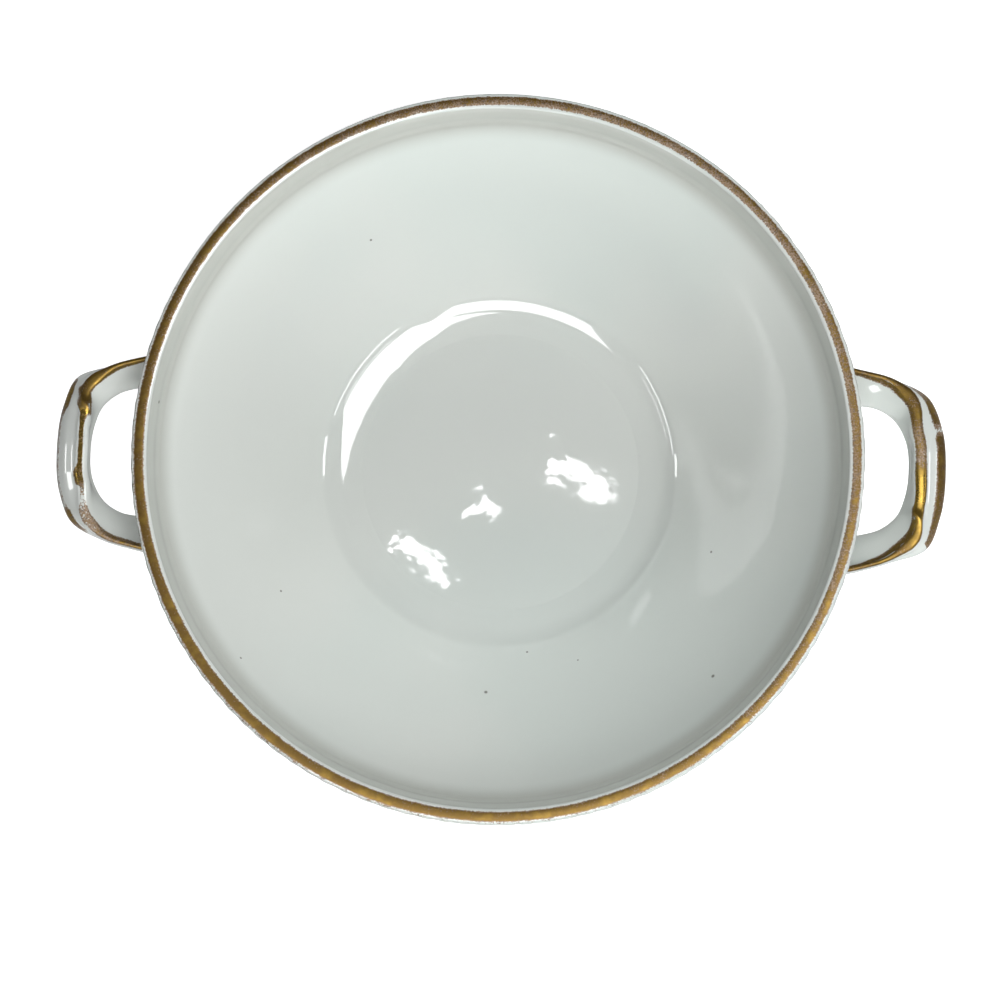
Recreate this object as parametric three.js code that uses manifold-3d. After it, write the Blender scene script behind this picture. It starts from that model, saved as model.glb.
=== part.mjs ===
// A round porcelain serving bowl with a foot ring, two loop handles and a worn gilt edge.
// Millimetres, +Z up. The origin is the centre of the circle that the foot ring stands on,
// and the two handles lie along X, one half a turn from the other.

import * as THREE from 'three';
import { mergeVertices } from 'three/addons/utils/BufferGeometryUtils.js';
import Module from 'manifold-3d';

const wasm = await Module();
wasm.setup();

// Rim: a narrow flat land, with a moulded border rolled outwards below it
const rimRadius = 105.4; // axis to the middle of the land
const rimLandWidth = 2.8;
const borderProud = 1.6; // how far the border stands out beyond the land
const borderBulgeDrop = 2.8; // land to the widest point
const borderHeight = 8.5; // land to the border's lower edge

// Collar inside the rim, which ends on a narrow ledge
const collarInset = 2.8; // land to the collar's foot, seen from above
const collarDepth = 9.6;
const ledgeWidth = 0.9;
const ledgeDrop = 0.8;

// Wall, well and floor
const wallThickness = 3.6;
const wallLean = 67; // degrees from level, below the ledge
const wallShoulder = 13; // how far the wall keeps that lean before it flares
const wellLean = 40; // degrees from level, where the wall meets the well
const wellFlare = 24; // how far the wall keeps that lean above the well
const wellRadius = 57.5;
const wellDepth = 55.5; // land to the edge of the well
const floorRadius = 46; // flat part of the floor
const floorDrop = 4.2; // edge of the well to the floor
const floorThickness = 5;

// Foot ring, made apart and stuck on with slip
const footRadius = 58.5;
const footWidth = 5;
const footHeight = 6.5;
const footTaper = 0.9; // how much each side narrows towards the table
const footEdge = 0.7; // softened edges of the standing face
const footSeatLip = 0.8; // body's underside beyond the ring

// Handle, seen from above: a strap bent into a loop
const handleReach = 26.7; // border to the far side of the grip
const handleSpread = 61; // over the outsides of the legs at the border
const openingReach = 15.7; // border to the near side of the grip
const openingSpread = 39.6; // between the legs at the border
const rootDepth = 26; // how far the loop runs on inwards, to be cut by the wall
const rootSplay = 4; // how much wider each leg stands there

// Handle, seen along the strap: a sharp ridge that wanders across it
const gripRidgeDrop = 11.5; // land to the ridge, in the middle of the grip
const legRidgeDrop = 14.5; // land to the ridge, at the roots
const legRidgeInset = 1.4; // ridge to the strap's outer edge, at the legs
const gripRidgeInset = 8.8; // ridge to the strap's outer edge, along the grip
const innerFall = 7; // ridge to the inner edge
const outerFall = 6.5; // ridge to the outer edge
const strapEdge = 2.6; // thickness of the strap's two edges
const strapBelly = 1.4; // how far the underside sinks below the edges
const faceCrown = 0.7; // swell of the faces on both sides of the ridge
const knotHeight = 1.1; // small moulded knot on the ridge
const knotLength = 2.2;

// Gilding, drawn far thicker than fired gold so that it is a solid
const giltThickness = 0.35;
const giltChamfer = 0.15;
const ridgeGiltWidth = 2.4;
const edgeGiltWidth = 2;
const clearance = 0.3; // between pieces that are fitted to a curved face

// Fineness of the facets
const turnSegments = 72;
const wallSteps = 9;
const curveSteps = 4;
const strapStations = 60;

const landInside = rimRadius - rimLandWidth / 2;
const landOutside = rimRadius + rimLandWidth / 2;
const borderRadius = landOutside + borderProud;
const collarRadius = landInside - collarInset;
const landHeight = footHeight + floorThickness + floorDrop + wellDepth;
const wellFloorDepth = wellDepth + floorDrop;
const undersideDepth = wellFloorDepth + floorThickness;

// Outlines of the loop as shares of its reach and of half its spread, from one leg to the other.
// One corner of the loop is sharper than the other.
const loopOutside = [
  [0, -1], [0.42, -0.89], [0.8, -0.755], [0.94, -0.46], [1, 0],
  [0.95, 0.44], [0.8, 0.73], [0.44, 0.9], [0, 1]];
const loopInside = [
  [0, -1], [0.5, -0.88], [0.79, -0.68], [0.94, -0.38], [1, 0],
  [0.93, 0.48], [0.7, 0.79], [0.38, 0.95], [0, 1]];
const knotShare = 0.4; // share of the way round the loop
const ridgeOffEdgeShare = 0.15; // where the ridge leaves the strap's outer edge
const ridgeOnGripShare = 0.4; // where it has come to its line along the grip
const edgeGiltFromShare = 0.3;
const edgeGiltToShare = 0.76;

const porcelain = new THREE.MeshStandardMaterial({ color: 0xe6eae6, roughness: 0.12, metalness: 0 });
const gilding = new THREE.MeshStandardMaterial({ color: 0xa47c3c, roughness: 0.42, metalness: 0.9 });

// A profile of [radius, depth below the land] pairs, turned round the bowl's axis
function turned(profile) {
  const points = profile.map(([radius, depth]) => new THREE.Vector2(radius, landHeight - depth));
  return new THREE.LatheGeometry(points, turnSegments).rotateX(Math.PI / 2);
}

function bentBetween(from, corner, to) {
  const curve = new THREE.QuadraticBezierCurve(
    new THREE.Vector2(...from), new THREE.Vector2(...corner), new THREE.Vector2(...to));
  return curve.getPoints(curveSteps).map((point) => [point.x, point.y]);
}

// Inner line of the wall, from the ledge down to the edge of the well
function wallCurve() {
  const top = new THREE.Vector2(collarRadius - ledgeWidth, collarDepth + ledgeDrop);
  const bottom = new THREE.Vector2(wellRadius, wellDepth);
  const heading = (degrees, length) => {
    const angle = THREE.MathUtils.degToRad(degrees);
    return new THREE.Vector2(-Math.cos(angle), Math.sin(angle)).multiplyScalar(length);
  };
  return new THREE.CubicBezierCurve(
    top,
    top.clone().add(heading(wallLean, wallShoulder)),
    bottom.clone().sub(heading(wellLean, wellFlare)),
    bottom);
}

// Points on the outside of the wall, one wall thickness away from the inner line
function wallOutside(thickness) {
  const curve = wallCurve();
  const points = [];
  for (let step = 0; step < wallSteps; step += 1) {
    const share = step / wallSteps;
    const point = curve.getPoint(share);
    const along = curve.getTangent(share);
    points.push([point.x + along.y * thickness, point.y - along.x * thickness]);
  }
  return points;
}

// Outside of the body from the rim's land down to the seat of the foot ring.
// Extra thickness makes the outline that other pieces keep clear of.
function bodyOutside(extra) {
  const wall = wallOutside(wallThickness + extra);
  const border = new THREE.SplineCurve([
    new THREE.Vector2(landOutside + extra, 0),
    new THREE.Vector2(borderRadius + extra, borderBulgeDrop),
    new THREE.Vector2(collarRadius + wallThickness + extra, borderHeight),
    new THREE.Vector2(...wall[0])]).getPoints(curveSteps * 2).map((point) => [point.x, point.y]);
  const seatEdge = footRadius + footSeatLip + extra;
  const [lastRadius, lastDepth] = wall.at(-1);
  const [priorRadius, priorDepth] = wall.at(-2);
  const slope = (lastDepth - priorDepth) / (priorRadius - lastRadius);
  const cove = bentBetween(
    [lastRadius, lastDepth],
    [seatEdge, lastDepth + (lastRadius - seatEdge) * slope],
    [seatEdge, undersideDepth]);
  return [...border, ...wall.slice(1, -1), ...cove];
}

function bowlBody() {
  const inside = [
    [landInside, 0],
    [landInside - ledgeDrop, ledgeDrop],
    [(landInside + collarRadius) / 2 - ledgeDrop / 2, collarDepth / 2],
    [collarRadius, collarDepth]];
  const wall = wallCurve().getPoints(wallSteps).map((point) => [point.x, point.y]);
  const meet = THREE.MathUtils.degToRad(wellLean);
  const well = bentBetween(
    [wellRadius, wellDepth],
    [wellRadius - floorDrop / Math.tan(meet), wellFloorDepth],
    [floorRadius, wellFloorDepth]);
  const floor = [[floorRadius / 2, wellFloorDepth], [0, wellFloorDepth]];
  const under = [[0, undersideDepth], [(footRadius - footWidth) / 2, undersideDepth]];
  const outline = [...under, ...bodyOutside(0).reverse(), ...inside, ...wall, ...well.slice(1), ...floor];
  return turned(outline);
}

function footRing() {
  const inner = footRadius - footWidth;
  const seat = undersideDepth;
  const table = undersideDepth + footHeight;
  return turned([
    [inner, seat],
    [inner + footTaper, table - footEdge],
    [inner + footTaper + footEdge, table],
    [footRadius - footTaper - footEdge, table],
    [footRadius - footTaper, table - footEdge],
    [footRadius - footTaper, table - footHeight / 2],
    [footRadius, seat],
    [inner, seat]]);
}

function rimGilding() {
  return turned([
    [landInside, 0],
    [landOutside, 0],
    [landOutside - giltChamfer, giltChamfer - giltThickness],
    [landOutside - rimLandWidth / 4, -giltThickness],
    [landInside + rimLandWidth / 4, -giltThickness],
    [landInside + giltChamfer, giltChamfer - giltThickness],
    [landInside, 0]]);
}

// One edge of the loop as a level curve, from inside the wall, round the grip and back to the wall
function loopCurve(shares, reach, spread) {
  const place = (out, along) => new THREE.Vector3(borderRadius + out, along, 0);
  const points = shares.map(([out, along]) => place(out * reach, along * spread / 2));
  const roots = [-1, 1].map((side) => place(-rootDepth, side * (spread / 2 + rootSplay)));
  return new THREE.CatmullRomCurve3([roots[0], ...points, roots[1]]);
}

const strapLength = loopCurve(loopOutside, handleReach, handleSpread).getLength();

// The strap's cross-section at a share of the way round: where it lies, how wide it is,
// and where its ridge runs, measured across the strap from the inner edge
function strapStation(share) {
  const inside = loopCurve(loopInside, openingReach, openingSpread).getPoint(share);
  const outside = loopCurve(loopOutside, handleReach, handleSpread).getPoint(share);
  const width = inside.distanceTo(outside);
  const across = outside.clone().sub(inside).normalize();
  const fromLeg = Math.min(share, 1 - share);
  const grip = THREE.MathUtils.smoothstep(fromLeg, ridgeOffEdgeShare, ridgeOnGripShare);
  const inset = THREE.MathUtils.lerp(legRidgeInset, gripRidgeInset, grip);
  const knot = knotHeight * Math.exp(-(((share - knotShare) * strapLength / knotLength) ** 2));
  const drop = THREE.MathUtils.lerp(legRidgeDrop, gripRidgeDrop, Math.sin(Math.PI * share));
  return { inside, across, width, ridge: width - inset, top: landHeight - drop + knot, knot };
}

// A point of a station, from its distance across the strap and its fall below the ridge
function onStrap(station, across, fall) {
  const point = station.inside.clone().addScaledVector(station.across, across);
  return point.setZ(station.top - fall);
}

// Outline of the bare porcelain strap, from the lower inner edge over the ridge and back underneath
function strapSection(station) {
  const { width, ridge, knot } = station;
  const land = giltThickness + clearance;
  const half = ridgeGiltWidth / 2;
  const inner = innerFall + knot;
  const outer = outerFall + knot;
  return [
    [strapEdge / 3, inner + strapEdge],
    [0, inner + strapEdge / 2],
    [strapEdge / 5, inner],
    [(ridge - half) / 2 - faceCrown / 2, inner / 2 - faceCrown],
    [ridge - half, land],
    [ridge + half, land],
    [(ridge + half + width) / 2 + faceCrown / 4, outer / 2 - faceCrown],
    [width - land, outer - edgeGiltWidth / 2],
    [width - land, outer + edgeGiltWidth / 2],
    [width - strapEdge / 2, outer + strapEdge],
    [width * 2 / 3, inner + strapEdge + strapBelly],
    [width / 3, inner + strapEdge + strapBelly],
  ].map(([across, fall]) => onStrap(station, across, fall));
}

function ridgeGiltSection(station) {
  const half = ridgeGiltWidth / 2;
  const { ridge } = station;
  return [
    [ridge - half, giltThickness],
    [ridge - half + giltChamfer, 0],
    [ridge + half - giltChamfer, 0],
    [ridge + half, giltThickness],
  ].map(([across, fall]) => onStrap(station, across, fall));
}

function edgeGiltSection(station) {
  const half = edgeGiltWidth / 2;
  const middle = outerFall + station.knot;
  const { width } = station;
  return [
    [width - giltThickness, middle + half],
    [width - giltThickness, middle - half],
    [width, middle - half + giltChamfer],
    [width, middle + half - giltChamfer],
  ].map(([across, fall]) => onStrap(station, across, fall));
}

// A closed skin through a row of sections, with a fan of faces over each end
function loft(sections) {
  const count = sections[0].length;
  const positions = sections.flat().flatMap((point) => point.toArray());
  const faces = [];
  const last = (sections.length - 1) * count;
  for (let start = 0; start < last; start += count) {
    for (let corner = 0; corner < count; corner += 1) {
      const here = start + corner;
      const next = start + (corner + 1) % count;
      faces.push(here, next, here + count, next, next + count, here + count);
    }
  }
  const startMiddle = sections.length * count;
  const endMiddle = startMiddle + 1;
  for (const section of [sections[0], sections.at(-1)]) {
    const middle = new THREE.Vector3();
    section.forEach((point) => middle.addScaledVector(point, 1 / count));
    positions.push(...middle.toArray());
  }
  for (let corner = 0; corner < count; corner += 1) {
    const next = (corner + 1) % count;
    faces.push(startMiddle, next, corner, endMiddle, last + corner, last + next);
  }
  const geometry = new THREE.BufferGeometry();
  geometry.setAttribute('position', new THREE.Float32BufferAttribute(positions, 3));
  geometry.setIndex(faces);
  return geometry;
}

function solidOf(geometry) {
  const bare = geometry.clone();
  bare.deleteAttribute('normal');
  bare.deleteAttribute('uv');
  const merged = mergeVertices(bare);
  return new wasm.Manifold(new wasm.Mesh({
    numProp: 3,
    vertProperties: merged.attributes.position.array,
    triVerts: new Uint32Array(merged.index.array),
  }));
}

function geometryOf(solid) {
  const mesh = solid.getMesh();
  const geometry = new THREE.BufferGeometry();
  geometry.setAttribute('position', new THREE.Float32BufferAttribute(mesh.vertProperties, 3));
  geometry.setIndex(new THREE.Uint32BufferAttribute(mesh.triVerts, 1));
  geometry.computeVertexNormals();
  return geometry;
}

const keepOut = solidOf(turned([[0, undersideDepth], ...bodyOutside(clearance).reverse(), [0, 0]]));

// A strip of the handle between two shares of the loop, ending on the wall of the bowl
function handleStrip(section, from = 0, to = 1) {
  const steps = Math.round(strapStations * (to - from));
  const stations = Array.from({ length: steps + 1 }, (_, step) => from + (to - from) * step / steps);
  const whole = solidOf(loft(stations.map((share) => section(strapStation(share)))));
  return geometryOf(whole.subtract(keepOut));
}

const bowl = new THREE.Group();

function add(name, geometry, material, parent = bowl) {
  const mesh = new THREE.Mesh(geometry, material);
  mesh.name = name;
  parent.add(mesh);
}

add('bowl_body', bowlBody(), porcelain);
add('foot_ring', footRing(), porcelain);
add('rim_gilding', rimGilding(), gilding);

const strap = handleStrip(strapSection);
const ridgeGilt = handleStrip(ridgeGiltSection);
const edgeGilt = handleStrip(edgeGiltSection, edgeGiltFromShare, edgeGiltToShare);
for (const [side, turn] of [['right', 0], ['left', Math.PI]]) {
  const handle = new THREE.Group();
  handle.rotation.z = turn;
  bowl.add(handle);
  add(`handle_${side}`, strap, porcelain, handle);
  add(`handle_${side}_ridge_gilding`, ridgeGilt, gilding, handle);
  add(`handle_${side}_edge_gilding`, edgeGilt, gilding, handle);
}

export default bowl;
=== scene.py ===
# %% [markdown]
# # A gilt porcelain serving bowl
# The object is a round bowl of glazed porcelain with a foot ring and two loop handles. A band of gold
# runs round its rim, and more gold follows the handles, rubbed thin in places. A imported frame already
# holds every piece as a plain solid. This lesson loads that frame and puts a finer piece in the place of
# each solid. All lengths are metres, so the sizes below are millimetres times MM.

# %% Load the frame
import math
from types import SimpleNamespace

import bmesh
import bpy
from mathutils import Matrix, Quaternion, Vector, noise
from mathutils.geometry import interpolate_bezier


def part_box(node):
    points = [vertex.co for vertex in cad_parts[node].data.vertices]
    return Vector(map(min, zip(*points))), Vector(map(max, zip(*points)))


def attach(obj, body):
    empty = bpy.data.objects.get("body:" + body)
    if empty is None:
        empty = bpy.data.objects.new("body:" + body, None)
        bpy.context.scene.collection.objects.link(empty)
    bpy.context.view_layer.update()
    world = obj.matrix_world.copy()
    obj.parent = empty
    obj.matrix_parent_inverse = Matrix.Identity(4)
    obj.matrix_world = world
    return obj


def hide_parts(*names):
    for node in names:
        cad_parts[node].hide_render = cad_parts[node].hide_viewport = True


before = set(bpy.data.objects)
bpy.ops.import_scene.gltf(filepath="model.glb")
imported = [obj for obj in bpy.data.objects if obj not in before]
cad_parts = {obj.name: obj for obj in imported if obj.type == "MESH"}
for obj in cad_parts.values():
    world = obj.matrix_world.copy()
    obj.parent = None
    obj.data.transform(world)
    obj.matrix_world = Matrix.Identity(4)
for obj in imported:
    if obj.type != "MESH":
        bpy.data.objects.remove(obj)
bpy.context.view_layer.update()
MM = 0.001
for node in sorted(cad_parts):
    low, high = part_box(node)
    print(node, "is", [round(size / MM, 1) for size in high - low], "mm over all")

# %% [markdown]
# ## Camera
# The bowl is seen almost straight from above, by a camera that leans a little towards the near side.
# The far rim and the floor of the bowl are at different depths, so the distance matters as much as the
# angle. The camera's place and the point that it looks at give the view. Tracking keeps the top of the
# picture towards +Z, which a view from above shows slanting, so a roll brings the handles almost level.

# %% Camera
CAMERA_PLACE = Vector((12.3, -55.3, 670.1)) * MM
CAMERA_AIM = Vector((1.3, -13.4, 71.6)) * MM
CAMERA_ROLL = math.radians(-13.1)
CAMERA_LENS = 73.8
CAMERA_SENSOR = 36  # the picture is square, so this is its width and its height
camera_data = bpy.data.cameras.new("photo_camera")
camera_data.lens = CAMERA_LENS
camera_data.sensor_fit = "HORIZONTAL"
camera_data.sensor_width = CAMERA_SENSOR
camera = bpy.data.objects.new("photo_camera", camera_data)
bpy.context.collection.objects.link(camera)
camera.location = CAMERA_PLACE
camera.rotation_mode = "QUATERNION"
facing = (CAMERA_AIM - CAMERA_PLACE).to_track_quat("-Z", "Y")
camera.rotation_quaternion = facing @ Quaternion((0, 0, 1), CAMERA_ROLL)
bpy.context.scene.camera = camera
print("camera", round((CAMERA_AIM - CAMERA_PLACE).length / MM), "mm from the rim")

# %% [markdown]
# ## Small tools
# A few helpers serve every piece. The first draws a smooth line through chosen points: at each point the
# line heads from the point before towards the point after, weighed by how far away they are, and a
# Bezier stretch joins each pair. Another bends a line round a corner, and one eases a value from 0 to 1.
# The last turns a finished bmesh into an object and ties it to the frame.

# %% Smooth lines
def smooth_line(points, steps, closed=False):
    """Points along a smooth curve through the given ones, with so many steps to each stretch."""
    points = [Vector(point) for point in points]
    count = len(points)
    stretches = count if closed else count - 1
    spans = [(points[(i + 1) % count] - points[i]).length for i in range(stretches)]

    def heading(index):
        if not closed and index == 0:
            return (points[1] - points[0]) / spans[0]
        if not closed and index == count - 1:
            return (points[-1] - points[-2]) / spans[-1]
        before, after = spans[index - 1], spans[index % stretches]
        back = (points[index] - points[index - 1]) / before
        ahead = (points[(index + 1) % count] - points[index]) / after
        return (back * after + ahead * before) / (before + after)

    line = []
    for i in range(stretches):
        start, end = points[i], points[(i + 1) % count]
        leave = start + heading(i) * spans[i] / 3
        arrive = end - heading((i + 1) % count) * spans[i] / 3
        line += interpolate_bezier(start, leave, arrive, end, steps + 1)[:-1]
    return line if closed else line + [points[-1]]


def arc_line(start, corner, end, steps):
    """Points of a bend that leaves start towards the corner and arrives at end from it."""
    leave = start.lerp(corner, 2 / 3)
    arrive = end.lerp(corner, 2 / 3)
    return interpolate_bezier(start, leave, arrive, end, steps + 1)


def smooth_step(value, low, high):
    """0 below low, 1 above high, and a gentle rise between them."""
    share = min(max((value - low) / (high - low), 0), 1)
    return share * share * (3 - 2 * share)


# %% Finished pieces
def finish_piece(bm, name, nodes, material):
    """Makes the bmesh an object that stands for its nodes in the frame."""
    mesh = bpy.data.meshes.new(name)
    bm.to_mesh(mesh)
    bm.free()
    mesh.shade_smooth()
    piece = bpy.data.objects.new(name, mesh)
    bpy.context.collection.objects.link(piece)
    piece.data.materials.append(material)
    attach(piece, "root")
    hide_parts(*nodes)
    triangles = sum(len(face.vertices) - 2 for face in mesh.polygons)
    print(name, "has", triangles, "triangles")


# %% [markdown]
# ## Glaze
# Porcelain glaze is clear glass over a white body. It is never quite flat, so reflections in it have
# wandering edges, and it is a touch greener where it lies thick. Both come from noise on Object
# coordinates. Every bare surface shares them, also where gold has worn away, so they are a node group.

# %% Node helpers
def new_group(name, inputs, outputs):
    """An empty shader node group with named sockets, given as name and socket type."""
    group = bpy.data.node_groups.new(name, "ShaderNodeTree")
    for socket, kind in inputs:
        group.interface.new_socket(socket, in_out="INPUT", socket_type=kind)
    for socket, kind in outputs:
        group.interface.new_socket(socket, in_out="OUTPUT", socket_type=kind)
    return group, group.nodes.new("NodeGroupInput"), group.nodes.new("NodeGroupOutput")


def add_node(tree, kind, links=(), **values):
    """A node with its plain settings and socket values, and links given as socket and source."""
    node = tree.nodes.new(kind)
    for name, value in values.items():
        setattr(node, name, value)
    for socket, source in links:
        if hasattr(source, "links"):
            tree.links.new(source, node.inputs[socket])
        else:
            node.inputs[socket].default_value = source
    return node


def math_node(tree, operation, first, second=0.0, third=0.0, clamp=False):
    links = [(0, first), (1, second), (2, third)]
    return add_node(tree, "ShaderNodeMath", links, operation=operation, use_clamp=clamp).outputs[0]


def noise_node(tree, place, scale, detail=2.0, roughness=0.5):
    links = [("Vector", place), ("Scale", scale), ("Detail", detail), ("Roughness", roughness)]
    return add_node(tree, "ShaderNodeTexNoise", links).outputs["Fac"]


def range_node(tree, value, low, high, to_low=0.0, to_high=1.0):
    """Eases from one level to another while the value goes from low to high, or from high to low."""
    links = [("Value", value), ("From Min", low), ("From Max", high)]
    links += [("To Min", to_low), ("To Max", to_high)]
    return add_node(tree, "ShaderNodeMapRange", links, interpolation_type="SMOOTHSTEP").outputs["Result"]


def mix_node(tree, share, first, second):
    """Mixes two colours: all of the first at share 0, all of the second at share 1."""
    links = [("Factor", share), (6, first), (7, second)]
    return add_node(tree, "ShaderNodeMix", links, data_type="RGBA").outputs[2]


def mix_value_node(tree, share, first, second):
    """Mixes two values in the same way."""
    links = [("Factor", share), (2, first), (3, second)]
    return add_node(tree, "ShaderNodeMix", links, data_type="FLOAT").outputs[0]


def vector_node(tree, operation, first, second=(0, 0, 0)):
    return add_node(tree, "ShaderNodeVectorMath", [(0, first), (1, second)], operation=operation).outputs


# %% Glaze group
GLAZE_WHITE = (0.70, 0.73, 0.70, 1)
GLAZE_THICK = (0.66, 0.71, 0.68, 1)
GLAZE_TONE_SCALE = 9.0
GLAZE_TONE_RANGE = 0.4, 0.65
GLAZE_RUB_SCALE = 36.0
GLAZE_RUB_RANGE = 0.3, 0.7
GLAZE_ROUGHNESS = 0.015, 0.035
GLAZE_WAVE_SCALE = 120.0
GLAZE_SWELL_SCALE = 34.0
GLAZE_SWELL_SHARE = 5.0  # how much higher the long swells are than the short waves


def glaze_group():
    inputs = [("Place", "NodeSocketVector")]
    outputs = [("Color", "NodeSocketColor"), ("Roughness", "NodeSocketFloat"),
               ("Height", "NodeSocketFloat")]
    group, start, end = new_group("porcelain_glaze", inputs, outputs)
    place = start.outputs["Place"]
    tone = range_node(group, noise_node(group, place, GLAZE_TONE_SCALE), *GLAZE_TONE_RANGE)
    colour = mix_node(group, tone, GLAZE_WHITE, GLAZE_THICK)
    group.links.new(colour, end.inputs["Color"])
    rub = noise_node(group, place, GLAZE_RUB_SCALE, detail=4)
    rough = range_node(group, rub, *GLAZE_RUB_RANGE, *GLAZE_ROUGHNESS)
    group.links.new(rough, end.inputs["Roughness"])
    wave = noise_node(group, place, GLAZE_WAVE_SCALE)
    swell = noise_node(group, place, GLAZE_SWELL_SCALE)
    height = math_node(group, "MULTIPLY_ADD", swell, GLAZE_SWELL_SHARE, wave)
    group.links.new(height, end.inputs["Height"])
    return group


GLAZE = glaze_group()
print("glaze group with", len(GLAZE.nodes), "nodes")


# %% [markdown]
# ## Porcelain
# The handles are plain glaze. The inside of the bowl also has a few dark specks, of the kind that fall
# into a glaze in the kiln. Each has its own place, given by how far it lies from the axis, how high it is
# and its bearing, counted from +X towards +Y. The collar is given painted shade: a grey tone, standing in
# for shade that the lights below don't cast there, rises towards the rim. It follows the height, and stops
# at the rim's inner edge. The standing edge of a foot ring is commonly wiped clean of glaze before the
# firing, so that it doesn't stick to the shelf, and here too it shows the dull body.

# %% Porcelain material
GLAZE_BUMP = 0.024 * MM
GLAZE_GLOSS = 1.0  # specular level, twice the usual, so that reflections turn as white as photographed


def glazed_material(name):
    """A material of bare glaze, with its shader and its place node for more detail."""
    material = bpy.data.materials.new(name)
    material.use_nodes = True
    tree = material.node_tree
    shader = tree.nodes["Principled BSDF"]
    shader.inputs["Specular IOR Level"].default_value = GLAZE_GLOSS
    place = tree.nodes.new("ShaderNodeTexCoord").outputs["Object"]
    glaze = add_node(tree, "ShaderNodeGroup", node_tree=GLAZE)
    tree.links.new(place, glaze.inputs["Place"])
    bump_links = [("Height", glaze.outputs["Height"]), ("Distance", GLAZE_BUMP), ("Strength", 1.0)]
    bump = add_node(tree, "ShaderNodeBump", bump_links)
    tree.links.new(bump.outputs["Normal"], shader.inputs["Normal"])
    tree.links.new(glaze.outputs["Color"], shader.inputs["Base Color"])
    tree.links.new(glaze.outputs["Roughness"], shader.inputs["Roughness"])
    return SimpleNamespace(material=material, tree=tree, shader=shader, place=place, glaze=glaze)


plain_porcelain = glazed_material("plain_porcelain").material
print("plain porcelain with", len(plain_porcelain.node_tree.nodes), "nodes")


# %% Specked and bare porcelain
LAND_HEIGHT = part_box("rim_gilding")[0].z
LAND_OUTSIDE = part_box("rim_gilding")[1].x
LAND_WIDTH = 2.8 * MM
LAND_INSIDE = LAND_OUTSIDE - LAND_WIDTH
# painted shade: this grey darkens the collar towards the rim, between the heights below
COLLAR_SHADE_GREY = (0.48, 0.495, 0.46, 1)
SHADE_HEIGHTS = LAND_HEIGHT - 16 * MM, LAND_HEIGHT - 8 * MM
SHADE_BLUR = 0.4 * MM
SPECK_COLOUR = (0.10, 0.095, 0.08, 1)
SPECK_CORE = 0.3
SPECK_STRENGTH = 0.85
KILN_SPECKS = (  # radius and height in millimetres, bearing in degrees, size in millimetres
    (81.2, 36.8, 121.2, 0.55), (29.6, 11.5, 84.9, 0.4), (70.6, 27.0, 268.2, 0.8), (58.6, 16.7, 280.1, 0.5),
    (91.9, 48.2, 316.5, 0.8), (71.5, 27.8, 339.7, 0.55), (78.2, 34.0, 211.6, 0.5), (97.4, 55.5, 219.4, 0.5),
    (102.0, 65.2, 172.4, 0.7), (65.3, 22.4, 293.8, 0.4))
BARE_COLOUR = (0.68, 0.65, 0.58, 1)
BARE_HEIGHT = 0.7 * MM
BARE_FADE = 1.3
BARE_WANDER = 0.8 * MM
BARE_WANDER_SCALE = 300.0
BARE_ROUGHNESS = 0.75


def radius_node(tree, place):
    """Distance of a place from the bowl's axis."""
    flat = vector_node(tree, "MULTIPLY", place, (1, 1, 0))["Vector"]
    return vector_node(tree, "LENGTH", flat)["Value"]


def specked_and_shaded_material(name):
    """Glaze with kiln specks, and with painted shade that greys the inside under its rim."""
    made = glazed_material(name)
    tree = made.tree
    height = add_node(tree, "ShaderNodeSeparateXYZ", [(0, made.place)]).outputs["Z"]
    radius = radius_node(tree, made.place)
    inside = range_node(tree, radius, LAND_INSIDE + SHADE_BLUR, LAND_INSIDE - SHADE_BLUR)
    # painted shade under the rim, greyer towards the top of the collar
    painted_shade = math_node(tree, "MULTIPLY", range_node(tree, height, *SHADE_HEIGHTS), inside)
    glaze = mix_node(tree, painted_shade, made.glaze.outputs["Color"], COLLAR_SHADE_GREY)
    specks = 0.0
    for out, up, bearing, size in KILN_SPECKS:
        turn = math.radians(bearing)
        spot = Vector((out * math.cos(turn), out * math.sin(turn), up)) * MM
        away = vector_node(tree, "DISTANCE", made.place, spot)["Value"]
        speck = range_node(tree, away, size * MM, size * MM * SPECK_CORE, 0.0, SPECK_STRENGTH)
        specks = math_node(tree, "MAXIMUM", speck, specks)
    colour = mix_node(tree, specks, glaze, SPECK_COLOUR)
    tree.links.new(colour, made.shader.inputs["Base Color"])
    return made.material


def bare_foot_material(name):
    """Glaze that stops a little above the table, with a wandering edge."""
    made = glazed_material(name)
    tree = made.tree
    height = add_node(tree, "ShaderNodeSeparateXYZ", [(0, made.place)]).outputs["Z"]
    wander = noise_node(tree, made.place, BARE_WANDER_SCALE)
    ragged = math_node(tree, "MULTIPLY_ADD", wander, BARE_WANDER, height)
    bare = range_node(tree, ragged, BARE_HEIGHT * BARE_FADE, BARE_HEIGHT)
    colour = mix_node(tree, bare, made.glaze.outputs["Color"], BARE_COLOUR)
    tree.links.new(colour, made.shader.inputs["Base Color"])
    rough = mix_value_node(tree, bare, made.glaze.outputs["Roughness"], BARE_ROUGHNESS)
    tree.links.new(rough, made.shader.inputs["Roughness"])
    return made.material


bowl_porcelain = specked_and_shaded_material("bowl_porcelain")
foot_porcelain = bare_foot_material("foot_porcelain")
print("porcelain with", len(KILN_SPECKS), "kiln specks")

# %% [markdown]
# ## Bowl
# A bowl like this is thrown or jiggered, so its shape is one line turned round an axis. The line
# starts under the middle, goes out to the foot, up the outside, over the rolled border and the rim, down
# the collar inside and across the floor. Spin sweeps it round, and the two ends meet on the axis.

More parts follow.
